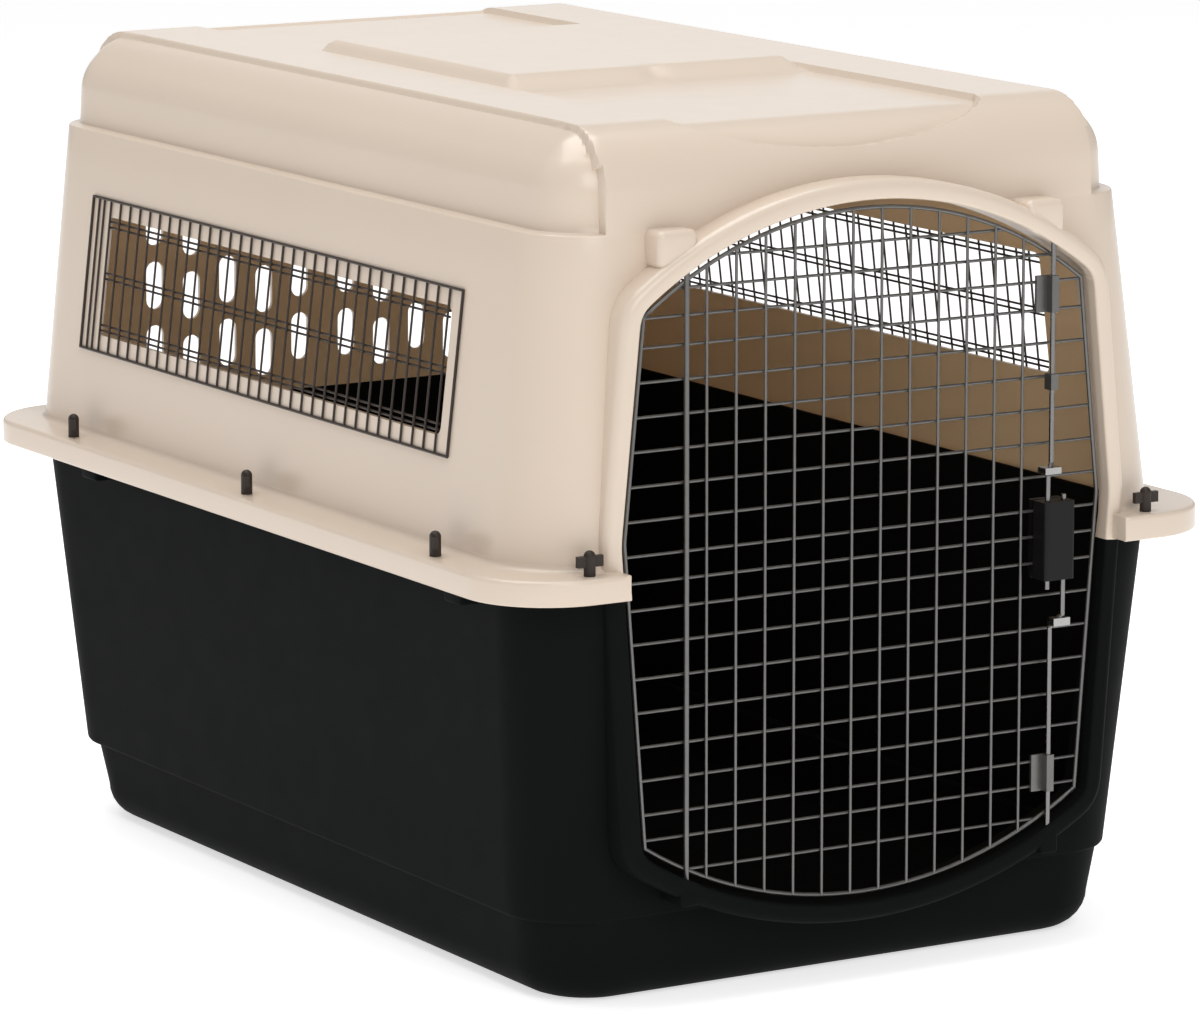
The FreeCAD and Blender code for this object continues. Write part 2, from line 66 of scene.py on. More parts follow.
# ---- Studio -----------------------------------------------------------------------------------
# Backlit white floor in a grey-white room, with large soft boxes in front, above and behind, so that
# the front is brighter than the left side and the gloss of the roof reflects a bright panel.
world = bpy.data.worlds.new("studio")
world.use_nodes = True
world.node_tree.nodes["Background"].inputs["Color"].default_value = (1.0, 1.0, 1.0, 1.0)
world.node_tree.nodes["Background"].inputs["Strength"].default_value = 0.36
bpy.context.scene.world = world
bpy.context.scene.view_settings.view_transform = "Standard"

floor_half = 12.0
floor_mesh = bpy.data.meshes.new("studio_floor")
floor_mesh.from_pydata([(-floor_half, -floor_half, 0), (floor_half, -floor_half, 0),
                        (floor_half, floor_half, 0), (-floor_half, floor_half, 0)], [], [(0, 1, 2, 3)])
floor = bpy.data.objects.new("studio_floor", floor_mesh)
bpy.context.scene.collection.objects.link(floor)
paper = bpy.data.materials.new("white_paper")
paper.use_nodes = True
paper.node_tree.nodes["Principled BSDF"].inputs["Base Color"].default_value = (0.93, 0.93, 0.93, 1)
paper.node_tree.nodes["Principled BSDF"].inputs["Roughness"].default_value = 0.9
paper.node_tree.nodes["Principled BSDF"].inputs["Emission Color"].default_value = (1, 1, 1, 1)
paper.node_tree.nodes["Principled BSDF"].inputs["Emission Strength"].default_value = 0.62
floor_mesh.materials.append(paper)


def soft_box(name, place, aim, width, height, power):
    """Rectangular area light at place, turned to face aim."""
    data = bpy.data.lights.new(name, "AREA")
    data.shape = "RECTANGLE"
    data.size = width
    data.size_y = height
    data.energy = power
    lamp = bpy.data.objects.new(name, data)
    bpy.context.scene.collection.objects.link(lamp)
    facing = np.array(aim, float) - np.array(place, float)
    turn = math.atan2(facing[1], facing[0]) - math.pi / 2
    tilt = math.atan2(facing[2], math.hypot(facing[0], facing[1])) + math.pi / 2
    lamp.matrix_world = (Matrix.Translation(place) @ Matrix.Rotation(turn, 4, "Z")
                         @ Matrix.Rotation(tilt, 4, "X"))


soft_box("front_box", (-0.7, -3.8, 2.5), (0.0, 0.0, 0.45), 2.4, 2.0, 46)
soft_box("top_box", (-0.3, 0.2, 3.4), (0.0, 0.0, 0.6), 2.6, 2.6, 72)
soft_box("back_box", (2.6, 4.4, 1.75), (0.0, 0.0, 0.66), 5.0, 2.2, 18)

# ---- Upper shell ------------------------------------------------------------------------------
# One injection moulding in cream polypropylene, 3.5 mm thick, gloss outside. Its walls lean in
# from a wide bolting flange to a ledge, and its roof has a raised centre between inset side panels.
MM = 0.001
wall = 3.5
flange_outline = (317.5, -447.5, 447.5, 68.0)
flange_z = (316.0, 335.0)
parting_z = flange_z[1] - wall
foot_outline = (286.0, -422.5, 429.0, 64.0)
ledge_z = 577.5
ledge_outline = (257.0, -405.0, 425.0, 52.0)
crown_z = 653.0
shoulder_radius = 49.0
shoulder_z = crown_z - shoulder_radius
shoulder_outline = (254.7, -403.7, 423.7, 49.0)
shoulder_start = math.radians(4.5)  # the curve begins at the wall's own lean
panel_edge_angle = math.radians(79.0)  # where the corner passes from side panel to raised centre
panel_depth = 9.0
panel_depth_on_top = 4.5
panel_top_x = 210.0             # the panel's upper edge, close to the roof's side
panel_corner = 15.0             # round where that edge turns down the corner
panel_slope = 3.4               # width of the step at the panel's edges
recess_half = 139.0
recess_depth = 4.8
recess_edge = 2.6               # width of the slope at the recess's sides
recess_front_edge = 2.4         # degrees of the shoulder that its front slope takes
recess_front_dip = 60.0         # degrees that the recess reaches down the front shoulder
pad_half = 120.0
pad_y = (-108.0, 172.0)
pad_slopes = (19.0, 30.0, 17.0)  # sides, front, rear
pad_rise = 7.0


def smooth(value):
    """0 below 0, 1 above 1, and 3t^2 - 2t^3 between."""
    t = np.clip(value, 0.0, 1.0)
    return t * t * (3.0 - 2.0 * t)


def lines_between(low, high, spacing, edges, close=1.4):
    """Even lines from low to high, with three extra close lines at every edge named."""
    lines = [np.linspace(low, high, int(round((high - low) / spacing)) + 1)]
    lines += [np.array([e - close, e, e + close]) for e in edges]
    every = np.unique(np.round(np.clip(np.concatenate(lines), low, high), 4))
    keep = np.concatenate([[True], np.diff(every) > 0.35])
    return every[keep]


cap_half = shoulder_outline[0] - shoulder_radius
cap_y = (shoulder_outline[1] + shoulder_radius, shoulder_outline[2] - shoulder_radius)
side_edges = [s * e for s in (-1, 1) for e in (recess_half, pad_half, pad_half + pad_slopes[0])]
x_lines = lines_between(-cap_half, cap_half, 3.2, side_edges)
y_lines = lines_between(cap_y[0], cap_y[1], 9.0,
                        [cap_y[0] + 3, cap_y[0] + 12, pad_y[0] - pad_slopes[1], pad_y[0], pad_y[1], pad_y[1] + pad_slopes[2]])
across = x_lines / cap_half
along = 2 * (y_lines - cap_y[0]) / (cap_y[1] - cap_y[0]) - 1
corner_turns = np.radians(np.array([0, 6, 12, 19, 26, 33, 40, 47, 54, 61, 67, 72, 75.5, 77.0, 78.0,
                                    79.0, 80.0, 81.0, 82.5, 86, 90]))


def loop_columns():
    """Once round the outline: share along x and y of the straight runs, and the facing direction."""
    turns = corner_turns
    ones = np.ones_like(turns)
    runs = [(np.ones_like(along), along, np.zeros_like(along)),
            (ones, ones, turns),
            (across[::-1], np.ones_like(across), np.full_like(across, math.pi / 2)),
            (-ones, ones, math.pi - turns[::-1]),
            (-np.ones_like(along), along[::-1], np.full_like(along, math.pi)),
            (-ones, -ones, math.pi + turns),
            (across, -np.ones_like(across), np.full_like(across, 1.5 * math.pi)),
            (ones, -ones, 2 * math.pi - turns[::-1])]
    share_x, share_y, facing = [np.concatenate([run[k][:-1] for run in runs]) for k in range(3)]
    return share_x, share_y, np.cos(facing), np.sin(facing)


column_x, column_y, facing_x, facing_y = loop_columns()


def loop(outline, z):
    """Points round a rounded rectangle: centre of curvature plus radius times facing direction."""
    half, front, rear, radius = outline
    x = column_x * (half - radius) + radius * facing_x
    y = (front + rear) / 2 + column_y * ((rear - front) / 2 - radius) + radius * facing_y
    return np.stack([x, y, np.full_like(x, z)], axis=1)


def inset(outline, amount):
    """The same outline moved inward all round."""
    half, front, rear, radius = outline
    return (half - amount, front + amount, rear - amount, max(radius - amount, 0.0))


def between(first, second, share):
    return tuple(a + (b - a) * share for a, b in zip(first, second))


def grid_faces(rows, columns, closed):
    """Quads of a grid of rows by columns, wrapping round the columns if closed."""
    index = np.arange(rows * columns).reshape(rows, columns)
    if closed:
        index = np.concatenate([index, index[:, :1]], axis=1)
    return np.stack([index[:-1, :-1], index[:-1, 1:], index[1:, 1:], index[1:, :-1]],
                    axis=-1).reshape(-1, 4)


def grid_normals(points):
    """Unit normals of a grid closed round its columns, from its row and column differences."""
    around = np.roll(points, -1, axis=1) - np.roll(points, 1, axis=1)
    up = np.gradient(points, axis=0)
    normals = np.cross(around, up)
    return normals / np.maximum(np.linalg.norm(normals, axis=2, keepdims=True), 1e-9)


def outer_rows():
    """Outer profile as (z, outline, share of the side panel's depth), flange to crown."""
    rows = []
    for share in np.linspace(0, 1, 9):
        z = flange_z[1] + 5 + (ledge_z - 1.6 - flange_z[1] - 5) * share
        rows.append((z, (z - flange_z[1]) / (ledge_z - flange_z[1]), 0.0))
    for rise, panel in ((-0.7, 0.02), (-0.2, 0.06), (0.0, 0.13), (0.3, 0.86), (0.8, 0.96), (1.8, 1.0)):
        rows.append((ledge_z + rise, 1 + rise / 400, panel))
    stations = [(z, between(foot_outline, ledge_outline, min(t, 1.0)), panel) for z, t, panel in rows]
    start_z = shoulder_z + shoulder_radius * math.sin(shoulder_start)
    start_outline = inset(shoulder_outline, shoulder_radius * (1 - math.cos(shoulder_start)))
    for share in (0.25, 0.5, 0.75):
        stations.append((ledge_z + (start_z - ledge_z) * share,
                         between(ledge_outline, start_outline, share), 1.0))
    turns = np.r_[np.linspace(math.degrees(shoulder_start), 80, 60), 81.5, np.arange(83, 91)]
    for turn in np.radians(turns):
        stations.append((shoulder_z + shoulder_radius * math.sin(turn),
                         inset(shoulder_outline, shoulder_radius * (1 - math.cos(turn))), 1.0))
    return stations


def recess_share(x, turn):
    """1 inside the roof's sunk centre: between its side edges, above its curved front end."""
    dip = recess_front_dip * np.sqrt(np.clip(1 - (x / (recess_half - 1)) ** 2, 0, 1))
    front_edge = 90.0 - dip
    inside_front = smooth((turn - front_edge) / recess_front_edge + 0.5)
    inside_sides = smooth((recess_half - np.abs(x)) / recess_edge + 0.5)
    return inside_front * inside_sides


def shape_outside(points, panels, turns):
    """Sinks the side panels and the front end of the recess along the surface's normals."""
    normals = grid_normals(points)
    beside = np.abs(points[:, :, 0]) - cap_half
    middle_y = (cap_y[0] + cap_y[1]) / 2
    beyond = np.abs(points[:, :, 1] - middle_y) - (cap_y[1] - cap_y[0]) / 2
    from_corner = beside * math.sin(panel_edge_angle) - beyond * math.cos(panel_edge_angle)
    from_top = np.where(turns[:, None] > 30, np.abs(points[:, :, 0]) - panel_top_x, 99.0)
    short_u = np.clip(panel_corner - from_corner, 0, None)
    short_v = np.clip(panel_corner - from_top, 0, None)
    into_panel = np.where((from_corner > panel_corner) | (from_top > panel_corner),
                          np.minimum(from_corner, from_top), panel_corner - np.hypot(short_u, short_v))
    on_top = np.clip(turns / 90.0, 0, 1)[:, None]
    depth = panel_depth + (panel_depth_on_top - panel_depth) * smooth((on_top - 0.45) / 0.55)
    sunk = depth * panels[:, None] * smooth(into_panel / panel_slope + 0.5)
    front = (facing_y < -0.99)[None, :] & (turns > 0)[:, None]
    sunk = sunk + np.where(front, recess_depth * recess_share(points[:, :, 0], turns[:, None]), 0)
    rear = (facing_y > 0.99)[None, :] & (turns > 62)[:, None]
    rear_share = smooth((recess_half - np.abs(points[:, :, 0])) / recess_edge + 0.5)
    rear_share = rear_share * smooth((turns[:, None] - 66) / 12)
    sunk = sunk + np.where(rear, recess_depth * rear_share, 0)
    return points - normals * sunk[:, :, None]


def roof_height(x, y):
    """Height above the crown: the sunk centre, and the pad on it with four sloping sides."""
    sunk = -recess_depth * smooth((recess_half - np.abs(x)) / recess_edge + 0.5)
    sides = (pad_half + pad_slopes[0] - np.abs(x)) / pad_slopes[0]
    front = (y - pad_y[0] + pad_slopes[1]) / pad_slopes[1]
    rear = (pad_y[1] + pad_slopes[2] - y) / pad_slopes[2]
    pad = smooth(np.minimum(np.minimum(sides, front), rear))
    notch = np.exp(-((x / 11.0) ** 2 + ((y - pad_y[0] + 10) / 9.0) ** 2))
    hole = np.exp(-(((x + 66) / 3.2) ** 2 + ((y + 53) / 3.2) ** 2))
    return sunk + (pad_rise + recess_depth) * pad - 4.5 * notch - 1.6 * hole


def mesh_object(name, parts):
    """One mesh from (points, faces, material index) parts, in metres, with shared edges merged."""
    points, faces, finishes, start = [], [], [], 0
    for part_points, part_faces, finish in parts:
        flat = np.asarray(part_points, float).reshape(-1, 3)
        points.append(flat)
        faces.append(np.asarray(part_faces) + start)
        finishes.append(np.full(len(part_faces), finish))
        start += len(flat)
    mesh = bpy.data.meshes.new(name)
    mesh.from_pydata((np.concatenate(points) * MM).tolist(), [], np.concatenate(faces).tolist())
    mesh.polygons.foreach_set("material_index", np.concatenate(finishes).astype(np.int32))
    body = bmesh.new()
    body.from_mesh(mesh)
    bmesh.ops.remove_doubles(body, verts=body.verts, dist=0.02 * MM)
    bmesh.ops.dissolve_degenerate(body, edges=body.edges, dist=0.01 * MM)
    bmesh.ops.recalc_face_normals(body, faces=body.faces)
    body.to_mesh(mesh)
    body.free()
    made = bpy.data.objects.new(name, mesh)
    bpy.context.scene.collection.objects.link(made)
    return made


def cap_grid(heights, scale_x=1.0, z=0.0, outline=None):
    """Grid of the roof between the shoulder's last loops, raised by heights(x, y)."""
    half, front, rear, _ = outline
    x = column_line(across, half, 0.0)
    y = column_line(along, (rear - front) / 2, (front + rear) / 2)
    grid_x, grid_y = np.meshgrid(x, y)
    return np.stack([grid_x, grid_y, z + heights(grid_x, grid_y)], axis=-1)


def column_line(shares, half, middle):
    return middle + shares * half


def upper_shell_parts():
    """Outside, flange and inside as one run of loops, with a grid closing roof and ceiling."""
    stations = outer_rows()
    heights = np.array([s[0] for s in stations])
    points = np.array([loop(outline, z) for z, outline, _ in stations])
    turns = np.degrees(np.arcsin(np.clip((heights - shoulder_z) / shoulder_radius, 0, 1)))
    turns = np.where(heights > shoulder_z, turns, 0)
    outside = shape_outside(points, np.array([s[2] for s in stations]), turns)
    roof = cap_grid(roof_height, z=crown_z, outline=stations[-1][1])
    # the outside's last loop meets the roof's own edge
    roof_edge = np.array([loop(stations[-1][1], crown_z)])
    roof_edge[0, :, 2] += roof_height(roof_edge[0, :, 0], roof_edge[0, :, 1])

    fillet = 5.0
    flange = []
    for turn in np.linspace(math.pi / 2, 0, 5):
        flange.append((flange_z[1] + fillet * (1 - math.sin(math.pi / 2 - turn)),
                       inset(foot_outline, -fillet * (1 - math.cos(math.pi / 2 - turn)))))
    lip = 3.5
    for turn in np.linspace(0, math.pi / 2, 6):
        flange.append((flange_z[1] - lip * (1 - math.cos(turn)),
                       inset(flange_outline, lip * (1 - math.sin(turn)))))
    flange += [(flange_z[0] + 0.8, flange_outline), (flange_z[0], inset(flange_outline, 0.8)),
               (flange_z[0], inset(flange_outline, wall - 0.8)),
               (flange_z[0] + 0.8, inset(flange_outline, wall)),
               (parting_z, inset(flange_outline, wall)), (parting_z, inset(foot_outline, wall))]
    inner_ledge = wall + panel_depth
    inside = [(flange_z[1], inset(foot_outline, wall)), (ledge_z - wall, inset(ledge_outline, wall)),
              (ledge_z - wall + 0.5, inset(ledge_outline, inner_ledge)),
              (shoulder_z, inset(shoulder_outline, inner_ledge))]
    inner_radius = shoulder_radius - inner_ledge
    for turn in np.linspace(0, math.pi / 2, 10)[1:]:
        inside.append((shoulder_z + inner_radius * math.sin(turn),
                       inset(shoulder_outline, inner_ledge + inner_radius * (1 - math.cos(turn)))))
    ceiling_outline = inside[-1][1]
    ceiling_z = inside[-1][0]
    flange_loops = np.array([loop(o, z) for z, o in flange])
    inside_loops = np.array([flange_loops[-1]] + [loop(o, z) for z, o in inside])
    outer = np.concatenate([flange_loops[::-1], outside, roof_edge])
    ceiling = cap_grid(lambda x, y: 0 * x, z=ceiling_z, outline=ceiling_outline)
    columns = len(column_x)
    return [(outer, grid_faces(len(outer), columns, True), 0),
            (roof, grid_faces(len(along), len(across), False), 0),
            (inside_loops, grid_faces(len(inside_loops), columns, True), 1),
            (ceiling, grid_faces(len(along), len(across), False), 1)]


door_y = -421.0
door_widest = (209.55, 353.0)
door_top_corner = (193.04, 518.0)
door_top_z = 584.5
door_bottom_corner = (192.28, 123.0)
door_bottom_z = 66.5
door_gap = 6.5
rim_front_y = -430.0
rim_rear_y = -389.0


rim_face = 8.0                  # flat face of the collar round the opening
rim_round = 7.0                 # round that brings the face back to the wall
wall_heights = (65.0, 335.0, 577.5, 607.0, 625.0)
wall_front_y = (-399.5, -423.0, -405.0, -403.0, -399.0)
boss_z = (552.0, 580.0)


def door_path(upper, start_z, corner_radius=14.0):
    """Half of the door's outline as points and outward directions, from the height start_z.

    Straight stretches from the widest place to the corner, a small round at the corner, then the
    circle through both corners and the middle of the arch or the sill.
    """
    corner, middle_z = (door_top_corner, door_top_z) if upper else (door_bottom_corner, door_bottom_z)
    sign = 1 if upper else -1
    half, corner_z = corner
    rise = abs(middle_z - corner_z)
    radius = (half * half + rise * rise) / (2 * rise)
    centre_z = middle_z - sign * radius
    spread = math.asin(half / radius)
    angles = np.linspace(-spread, spread, 81)
    arch = np.stack([radius * np.sin(angles), centre_z + sign * radius * np.cos(angles)], axis=1)
    share = (start_z - door_bottom_corner[1]) / (door_widest[1] - door_bottom_corner[1])
    start = np.array([between(door_bottom_corner, door_widest, share)])
    ends = [start, np.array([door_widest])] if upper else [start]
    ends.append(np.array([[half, corner_z]]))
    right = np.concatenate([a + (b - a) * np.linspace(0, 1, 16)[:-1, None]
                            for a, b in zip(ends, ends[1:])])
    path = np.concatenate([right, arch[::-1], right[::-1] * np.array([[-1, 1]])])
    # the corner's round: a short weighted average along the path, by distance
    steps = np.r_[0, np.cumsum(np.linalg.norm(np.diff(path, axis=0), axis=1))]
    even = np.arange(0, steps[-1], 3.0)
    even = np.r_[even, steps[-1]]
    path = np.stack([np.interp(even, steps, path[:, k]) for k in (0, 1)], axis=1)
    reach = int(round(corner_radius / 3.0 / 1.5))
    weights = np.hanning(2 * reach + 3)[1:-1]
    weights /= weights.sum()
    padded = np.pad(path, ((reach, reach), (0, 0)), mode="reflect", reflect_type="odd")
    path = np.stack([np.convolve(padded[:, k], weights, "valid") for k in (0, 1)], axis=1)
    along_path = np.gradient(path, axis=0)
    out = np.stack([along_path[:, 1], -along_path[:, 0]], axis=1)
    out *= (1 if upper else -1)
    return path, out / np.linalg.norm(out, axis=1, keepdims=True)


def rim_parts(upper):
    """Collar round the opening: a closed section carried along the door's outline."""
    path, out = door_path(upper, flange_z[0])
    section = [(door_gap, rim_rear_y), (door_gap, rim_front_y + 2.4)]
    section += [(door_gap + 2.4 * (1 - math.cos(t)), rim_front_y + 2.4 * (1 - math.sin(t)))
                for t in np.linspace(0.3, math.pi / 2, 4)]
    section += [(door_gap + rim_face + rim_round * math.sin(t), rim_front_y + rim_round * (1 - math.cos(t)))
                for t in np.linspace(0, math.pi / 2, 8)]
    section += [(door_gap + rim_face + rim_round, rim_rear_y)]
    section = np.array(section)
    points = np.zeros((len(path), len(section), 3))
    points[:, :, 0] = path[:, None, 0] + out[:, None, 0] * section[None, :, 0]
    points[:, :, 1] = section[None, :, 1]
    points[:, :, 2] = path[:, None, 1] + out[:, None, 1] * section[None, :, 0]
    behind_wall = np.interp(points[:, :, 2], wall_heights, wall_front_y) + wall + 2.5
    points[:, [0, -1], 1] = behind_wall[:, [0, -1]]
    count = len(section)
    faces = grid_faces(len(path), count, True)
    return [(points, faces, 0)]


def fill_ends(made):
    """Closes every open edge loop of a mesh."""
    body = bmesh.new()
    body.from_mesh(made.data)
    open_edges = [e for e in body.edges if e.is_boundary]
    bmesh.ops.holes_fill(body, edges=open_edges, sides=0)
    bmesh.ops.recalc_face_normals(body, faces=body.faces)
    body.to_mesh(made.data)
    body.free()


def prism(name, path_xz, y0, y1):
    """Closed prism of a flat outline in x and z, from y0 to y1."""
    path_xz = np.asarray(path_xz, float)
    near = np.stack([path_xz[:, 0], np.full(len(path_xz), y0), path_xz[:, 1]], axis=1)
    far = near + np.array([0, y1 - y0, 0])
    made = mesh_object(name, [(np.array([near, far]), grid_faces(2, len(path_xz), True), 0)])
    fill_ends(made)
    return made


def combine(target, tool, operation):
    """Cuts or joins another closed mesh into the target, and removes the tool."""
    change = target.modifiers.new(operation.lower(), "BOOLEAN")
    change.operation = operation
    change.solver = "EXACT"
    change.object = tool
    bpy.context.view_layer.objects.active = target
    depsgraph = bpy.context.evaluated_depsgraph_get()
    result = bpy.data.meshes.new_from_object(target.evaluated_get(depsgraph))
    target.modifiers.clear()
    old = target.data
    target.data = result
    bpy.data.meshes.remove(old)
    bpy.data.objects.remove(tool)


def door_cut(name, upper, grow, y0, y1):
    """Prism of the opening's half, grown outward, closed across beyond the flange."""
    path, out = door_path(upper, 300.0 if upper else 345.0)
    return prism(name, path + out * grow, y0, y1)


def rounded_box(name, low, high, radius, segments=3):
    """Block with all its edges rounded: a cube whose edges are bevelled by the radius."""
    low, high = np.array(low, float), np.array(high, float)
    made_mesh = bpy.data.meshes.new(name)
    body = bmesh.new()
    bmesh.ops.create_cube(body, size=1.0)
    for vert in body.verts:
        vert.co = [((low + high) / 2 + (high - low) * np.array(vert.co))[k] * MM for k in range(3)]
    bmesh.ops.bevel(body, geom=list(body.edges), offset=radius * MM, segments=segments,
                    profile=0.5, affect="EDGES")
    body.to_mesh(made_mesh)
    body.free()
    made = bpy.data.objects.new(name, made_mesh)
    bpy.context.scene.collection.objects.link(made)
    return made


def shade(made, angle=35.0):
    """Smooth faces, with edges sharper than the angle kept crisp."""
    made.data.polygons.foreach_set("use_smooth", np.ones(len(made.data.polygons), bool))
    made.data.set_sharp_from_angle(angle=math.radians(angle))


def moulded_plastic(name, colour, shade_colour, roughness, grain, coat, gleam=0.5):
    """Moulded plastic: faint cloudy colour, a roughness that varies in patches and a fine pebble in the gloss.
    """
    material = bpy.data.materials.new(name)
    material.use_nodes = True
    nodes, links = material.node_tree.nodes, material.node_tree.links
    surface = nodes["Principled BSDF"]
    place = nodes.new("ShaderNodeTexCoord")
    cloud = nodes.new("ShaderNodeTexNoise")
    cloud.inputs["Scale"].default_value = 5.0
    cloud.inputs["Detail"].default_value = 3.0
    links.new(place.outputs["Object"], cloud.inputs["Vector"])
    ramp = nodes.new("ShaderNodeMix")
    ramp.data_type = "RGBA"
    ramp.inputs["A"].default_value = (*shade_colour, 1)
    ramp.inputs["B"].default_value = (*colour, 1)
    links.new(cloud.outputs["Fac"], ramp.inputs["Factor"])
    links.new(ramp.outputs["Result"], surface.inputs["Base Color"])
    wear = nodes.new("ShaderNodeTexNoise")
    wear.inputs["Scale"].default_value = 38.0
    wear.inputs["Detail"].default_value = 5.0
    links.new(place.outputs["Object"], wear.inputs["Vector"])
    gloss = nodes.new("ShaderNodeMapRange")
    gloss.inputs["To Min"].default_value = roughness - 0.05
    gloss.inputs["To Max"].default_value = roughness + 0.06
    links.new(wear.outputs["Fac"], gloss.inputs["Value"])
    links.new(gloss.outputs["Result"], surface.inputs["Roughness"])
    pebble = nodes.new("ShaderNodeTexNoise")
    pebble.inputs["Scale"].default_value = 900.0
    pebble.inputs["Detail"].default_value = 2.0
    links.new(place.outputs["Object"], pebble.inputs["Vector"])
    relief = nodes.new("ShaderNodeBump")
    relief.inputs["Strength"].default_value = grain
    relief.inputs["Distance"].default_value = 0.0004
    links.new(pebble.outputs["Fac"], relief.inputs["Height"])
    links.new(relief.outputs["Normal"], surface.inputs["Normal"])
    surface.inputs["Coat Weight"].default_value = coat
    surface.inputs["Coat Roughness"].default_value = 0.18
    surface.inputs["Specular IOR Level"].default_value = gleam
    return material


cream = moulded_plastic("cream_gloss", (0.715, 0.598, 0.489), (0.685, 0.568, 0.461), 0.31, 0.05, 0.35)
# The inside's warmer, more saturated tan is painted shade: it stands in for the colour of the shaded,
# bounce-lit interior. Its rougher, uncoated gloss is the moulding's own.
cream_inside_painted_shade = moulded_plastic("cream_inside_painted_shade", (0.88, 0.66, 0.41), (0.85, 0.62, 0.38), 0.55, 0.1, 0.0)

upper = mesh_object("upper_shell_moulding", upper_shell_parts())
upper.data.materials.append(cream)
# second slot: the inside faces, coloured with painted shade
upper.data.materials.append(cream_inside_painted_shade)
combine(upper, door_cut("arch_cut", True, 12.0, -470, -370), "DIFFERENCE")

window_y = (-268.0, 298.0)
window_z = (416.0, 512.0)
slot_radius = 8.0
slot_reach = 20.25 - slot_radius
slot_first_x = 22.5
slot_pitch_x = 34.5
slot_pitch_z = 54.3
slot_stagger = -11.0
slot_middle_z = 431.3


def rounded_window(name, corner=7.0):
    """Cutter for both side windows: one long rounded bar across the shell."""
    turns = np.radians(np.arange(0, 91, 15))
    outline = []
    for cy, cz, start in ((window_y[1], window_z[1], 0), (window_y[0], window_z[1], 90),
                          (window_y[0], window_z[0], 180), (window_y[1], window_z[0], 270)):
        inward_y = -corner if cy > 0 else corner
        inward_z = -corner if cz > 464 else corner
        outline += [(cy + inward_y + corner * math.cos(t + math.radians(start)),
                     cz + inward_z + corner * math.sin(t + math.radians(start))) for t in turns]
    outline = np.array(outline)
    ends = [np.stack([np.full(len(outline), x), outline[:, 0], outline[:, 1]], axis=1)
            for x in (-330.0, 330.0)]
    made = mesh_object(name, [(np.array(ends), grid_faces(2, len(outline), True), 0)])
    fill_ends(made)
    return made


combine(upper, rounded_window("window_cut"), "DIFFERENCE")


def slot_cutters():
    """Upright round-ended slots of the rear wall, in columns that step up and down in turn."""
    turns = np.radians(np.arange(0, 181, 20))
    outline = np.concatenate([
        np.stack([slot_radius * np.cos(turns), slot_reach + slot_radius * np.sin(turns)], axis=1),
        np.stack([-slot_radius * np.cos(turns), -slot_reach - slot_radius * np.sin(turns)], axis=1)])
    parts = []
    for side in (-1, 1):
        for column in range(5):
            for row in (-1, 0, 1):
                x = side * (slot_first_x + slot_pitch_x * column)
                z = slot_middle_z + row * slot_pitch_z + (column % 2) * slot_stagger
                ends = [np.stack([outline[:, 0] + x, np.full(len(outline), y), outline[:, 1] + z],
                                 axis=1) for y in (390.0, 460.0)]
                parts.append((np.array(ends), grid_faces(2, len(outline), True), 0))
    made = mesh_object("slot_cut", parts)
    fill_ends(made)
    return made


combine(upper, slot_cutters(), "DIFFERENCE")

arch_rim = mesh_object("arch_rim", rim_parts(True))
fill_ends(arch_rim)
arch_rim.data.materials.append(cream)
combine(upper, arch_rim, "UNION")
hinge_x = -157.48
latch_x = 164.0
for rod_x in (hinge_x, latch_x):
    boss_front_y = rim_front_y + (4 if rod_x < 0 else 1)
    boss = rounded_box("rod_boss", (rod_x - 25, boss_front_y, boss_z[0]),
                       (rod_x + 9, wall_front_y[2] + 5, boss_z[1]), 5.5, 6)
    boss.data.materials.append(cream)
    combine(upper, boss, "UNION")
for side in (-1, 1):
    flange_end = rounded_box("flange_end", (side * 221.0 - 2.2, flange_outline[1] + 0.01, flange_z[0]),
                             (side * 221.0 + 2.2, -422.0, flange_z[1]), 1.0)
    flange_end.data.materials.append(cream)
    combine(upper, flange_end, "UNION")
opening = door_cut("arch_opening", True, door_gap, -470, -370)
combine(upper, opening, "DIFFERENCE")
shade(upper)
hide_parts("upper_shell")
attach(upper, "carrier")

# ---- Lower shell ------------------------------------------------------------------------------
# The matching charcoal tub: walls that spread upward from a rounded floor, a small stacking step
# low down, and a flange that lies inside the upper one and is bolted to it.
charcoal = moulded_plastic("charcoal_pebble", (0.0066, 0.0078, 0.0075), (0.0050, 0.0060, 0.0057),
                           0.58, 0.18, 0.0, 0.02)
lower_top_outline = (282.5, -423.5, 428.0, 64.0)
step_z = 65.0
step_outline = (264.0, -399.5, 400.0, 59.0)
neck_outline = (257.0, -398.0, 391.5, 56.0)
base_outline = (252.0, -396.0, 386.0, 60.0)
base_radius = 28.0


